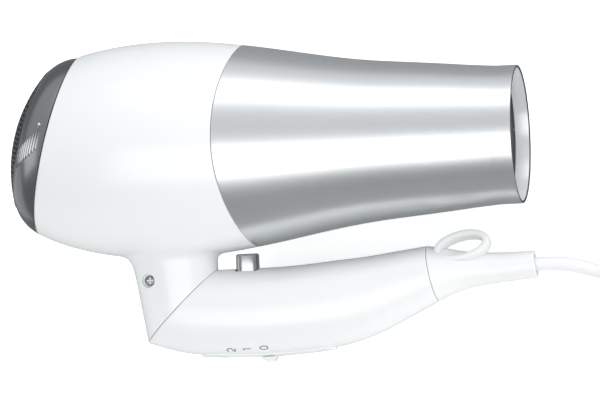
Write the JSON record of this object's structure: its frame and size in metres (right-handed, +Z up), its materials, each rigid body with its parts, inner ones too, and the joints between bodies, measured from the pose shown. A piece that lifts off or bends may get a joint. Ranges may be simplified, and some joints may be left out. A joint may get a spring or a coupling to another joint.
{
  "type": "hair dryer",
  "caption": "Folding travel hair dryer with white housing, silver barrel, dark rear trim ring, swivelling handle, slide switch, cool air button, hang loop and mains lead.",
  "frame": {"origin": "middle of the floor box of the dryer lying on its side, without its lead", "axes": "+X runs along the barrel towards the outlet, +Z is up, and the folded handle lies on the -Y side"},
  "size_m": [0.346, 0.1435, 0.0848],
  "materials": {
    "gloss_white": "glossy white moulding",
    "silver_barrel": "satin silver lacquer",
    "dark_chrome": "smoked chrome plating",
    "black_mesh": "fine black mesh",
    "button_silver": "plated plastic",
    "soft_white": "soft white moulding",
    "cord_white": "smooth white sheath",
    "black_plastic": "heat-resistant moulding",
    "motor_steel": "plated steel",
    "mica": "mica sheet",
    "heating_wire": "resistance wire",
    "circuit_board": "green laminate",
    "inner_white": "plain moulding",
    "brass": "turned brass",
    "screw_steel": "zinc-plated steel",
    "pin_metal": "nickel-plated contact",
    "strap": "woven strap"
  },
  "bodies": {
    "handle": {"button_seat": "inner_white", "button_spring": "motor_steel", "capacitor": "inner_white", "cool_microswitch": "black_plastic", "cord_clamp": "inner_white", "cord_coil": "cord_white", "cord_guard": "soft_white", "cord_tie": "strap", "detent_ball": "motor_steel", "detent_spring": "motor_steel", "handle_left": "gloss_white", "handle_right": "gloss_white", "handle_screws": "screw_steel", "lead_tail": "cord_white", "mains_cord": "cord_white", "plug_body": "cord_white", "plug_lead": "cord_white", "plug_pins": "pin_metal", "stop_pin": "motor_steel", "switch_board": "circuit_board", "switch_module": "black_plastic", "switch_plate": "gloss_white", "swivel_journal": "brass", "swivel_retainer": "motor_steel", "swivel_washer": "motor_steel", "wire_bundle": "black_plastic"},
    "slider": {"slide_knob": "gloss_white"},
    "cool_shot": {"cool_button": "button_silver"},
    "fan": {"impeller": "black_plastic", "motor_shaft": "motor_steel"},
    "inlet_cap": {"trim_ring": "dark_chrome", "inlet_dome": "black_mesh", "inlet_carrier": "black_plastic"},
    "barrel": {"housing_left": "gloss_white", "housing_right": "gloss_white", "barrel_sleeve": "silver_barrel", "stalk_screw": "screw_steel", "motor_mount": "black_plastic", "motor_can": "motor_steel", "motor_bushes": "brass", "motor_cap": "black_plastic", "rectifier_board": "circuit_board", "air_guide": "black_plastic", "mica_tube": "mica", "mica_cross": "mica", "heater_coils": "heating_wire", "thermostat": "motor_steel", "thermal_fuse": "motor_steel", "outlet_grille": "black_plastic"}
  },
  "joints": [
    {"name": "handle_swivel", "type": "hinge", "parent": "handle", "child": "barrel", "pos_m": [-0.0384, -0.03803, 0.02105], "axis": [0.6652, -0.6742, -0.3209], "range_deg": [0, 180]},
    {"name": "slide_switch", "type": "slide", "parent": "handle", "child": "slider", "axis": [-0.9949, 0, 0.1011], "range_m": [0, 0.013]},
    {"name": "cool_air_button", "type": "slide", "parent": "handle", "child": "cool_shot", "axis": [-0.0354, -0.9367, -0.3484], "range_m": [0, 0.002], "stiffness_N_per_m": 300, "springref_m": -0.003, "deforming": ["button_spring"]},
    {"name": "fan_spin", "type": "hinge", "parent": "barrel", "child": "fan", "pos_m": [-0.04352, 0.01873, 0.0429], "axis": [0.9949, 0, -0.1011], "continuous": true},
    {"name": "inlet_cap_pull", "type": "slide", "parent": "barrel", "child": "inlet_cap", "axis": [-0.9492, 0.2503, 0.1905], "range_m": [0, 0.025]}
  ]
}
